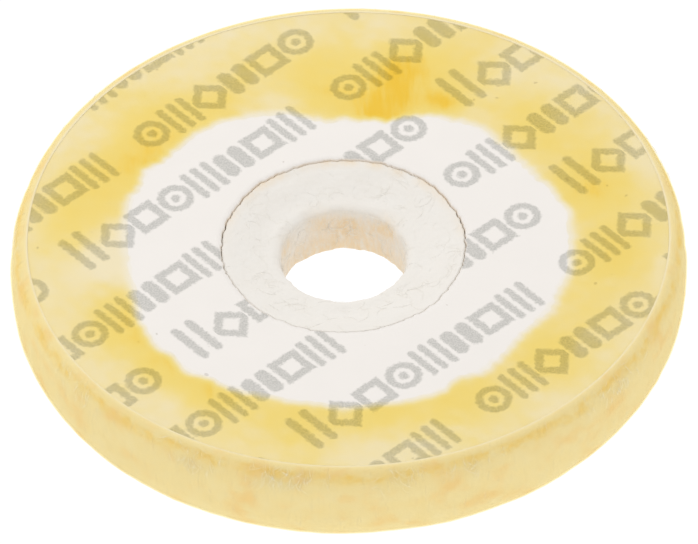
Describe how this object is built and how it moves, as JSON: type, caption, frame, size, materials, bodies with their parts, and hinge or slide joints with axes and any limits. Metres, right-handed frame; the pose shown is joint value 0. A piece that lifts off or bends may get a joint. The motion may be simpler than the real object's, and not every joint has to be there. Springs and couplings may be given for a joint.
{
  "type": "woodwind key pad",
  "caption": "Small round instrument key pad with a centre hole: a felt ring on a printed card washer, wrapped in thin yellow skin that is turned over and glued on the card's back.",
  "frame": {"origin": "centre of the front face, the skin-covered face that seals a tone hole and that the pad lies on", "axes": "+Z along the pad's axis, from the front face towards the card back; X and Y in the front face"},
  "size_m": [0.018, 0.018, 0.0026],
  "materials": {
    "white_felt": "pressed white wool felt, fibrous cut edges",
    "pale_glue": "thin dried glue",
    "white_card": "smooth white card with grey printed marks",
    "amber_glue": "dried amber glue, semi-gloss",
    "straw_skin": "thin translucent straw-yellow membrane, satin, with fine fibres"
  },
  "bodies": {
    "root": {"felt_cushion": "white_felt", "card_glue_film": "pale_glue", "card_backing": "white_card", "skin_glue_film": "amber_glue", "inner_skin": "straw_skin", "outer_skin": "straw_skin"}
  },
  "joints": []
}
